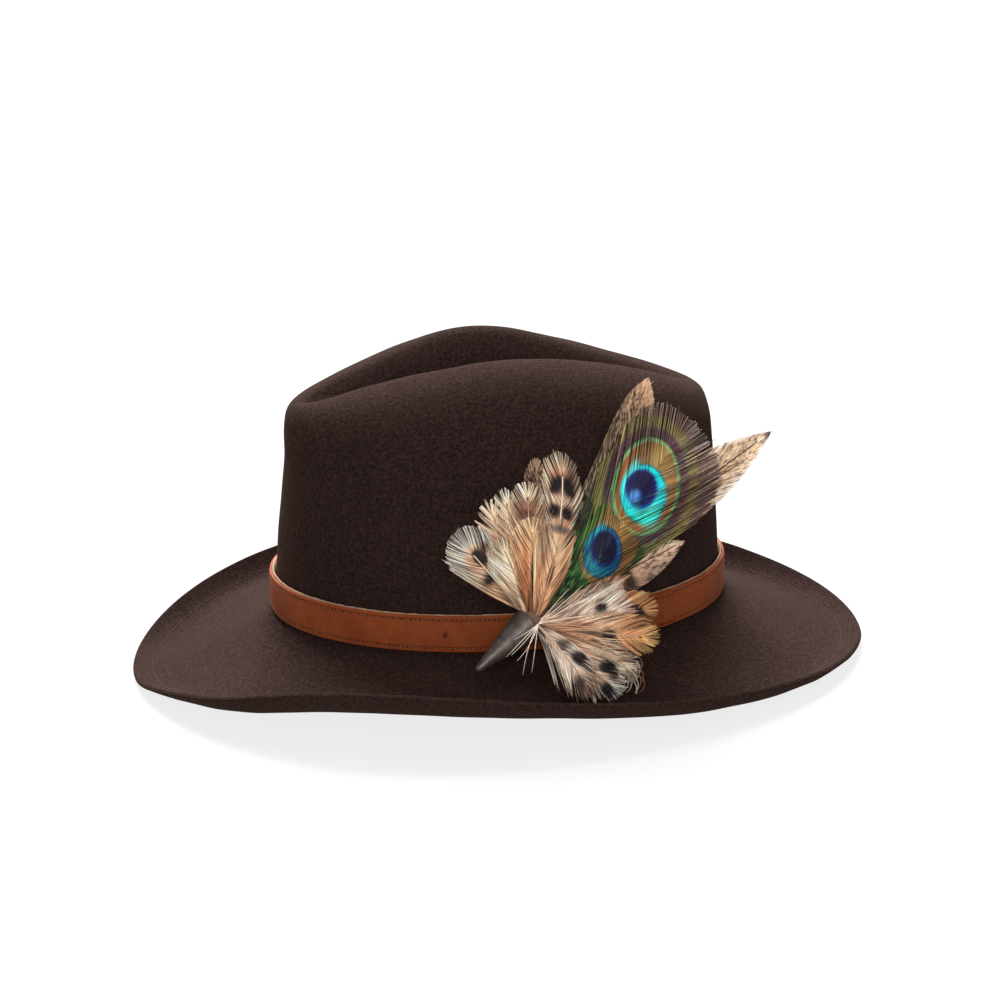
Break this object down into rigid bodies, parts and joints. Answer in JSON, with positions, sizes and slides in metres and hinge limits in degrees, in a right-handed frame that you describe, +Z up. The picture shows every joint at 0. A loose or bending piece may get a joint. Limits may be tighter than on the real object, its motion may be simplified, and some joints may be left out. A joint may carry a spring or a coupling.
{
  "type": "fedora hat",
  "caption": "Wide-brimmed brown felt fedora with a long crown dent, stitched brim, tan leather hatband and a removable feather brooch in a metal cone.",
  "frame": {"origin": "centre of the bounding box at the table", "axes": "+Z up, -X to the front of the hat, -Y to the wearer's left, where the feather brooch sits"},
  "size_m": [0.3411, 0.2858, 0.1466],
  "materials": {
    "felt": "dense brown wool felt, matt with a short nap",
    "brim_thread": "twisted sewing thread",
    "sweatband_leather": "smooth dark brown leather",
    "ribbon": "ribbed ribbon",
    "tan_leather": "oiled tan leather, satin",
    "raw_leather": "undyed raw leather",
    "leather_thread": "waxed thread",
    "gunmetal": "smooth grey-brown satin lacquer over metal",
    "brown_thread": "wound thread",
    "backing_leather": "suede side out",
    "steel": "plain steel",
    "brass": "satin brass",
    "brown_feather": "mottled grey-brown feather vane",
    "tan_feather": "mottled tan feather vane",
    "peacock_feather": "iridescent green and bronze feather vane",
    "spotted_feather": "cream feather vane with dark spots",
    "cream_feather": "soft cream feather vane"
  },
  "bodies": {
    "hat": {"felt_body": "felt", "brim_stitching": "brim_thread", "sweatband": "sweatband_leather", "sweatband_reed": "sweatband_leather", "sweatband_stitching": "brim_thread", "sweatband_bow": "ribbon", "hatband_face": "tan_leather", "hatband_backing": "raw_leather", "hatband_stitching": "leather_thread", "hatband_join": "tan_leather", "hatband_join_stitching": "leather_thread", "hatband_tack": "leather_thread"},
    "brooch": {"pin_cone": "gunmetal", "pin_binding": "brown_thread", "pin_backing_pad": "backing_leather", "pin_spine": "backing_leather", "pin_post": "steel", "feather_brown_tall": "brown_feather", "feather_tan_right": "tan_feather", "feather_brown_curl": "brown_feather", "feather_peacock_large": "peacock_feather", "feather_spotted_tall": "spotted_feather", "feather_peacock_small": "peacock_feather", "feather_left_outer": "spotted_feather", "feather_left_middle": "spotted_feather", "feather_tan_low": "tan_feather", "feather_left_inner": "spotted_feather", "feather_black_white": "cream_feather", "feather_centre_left": "cream_feather", "feather_centre": "cream_feather", "feather_centre_right": "cream_feather", "feather_fan_top": "spotted_feather", "feather_fan_high": "spotted_feather", "feather_fan_middle": "spotted_feather", "feather_fan_low": "spotted_feather", "feather_fan_lower": "spotted_feather", "feather_fan_front": "spotted_feather"},
    "clutch": {"pin_clutch": "brass"}
  },
  "joints": [
    {"name": "brooch_pull", "type": "slide", "parent": "hat", "child": "brooch", "axis": [0.1169, -0.9739, 0.1948], "range_m": [0, 0.012]},
    {"name": "clutch_pull", "type": "slide", "parent": "hat", "child": "clutch", "axis": [-0.1169, 0.9739, -0.1948], "range_m": [0, 0.008]}
  ]
}
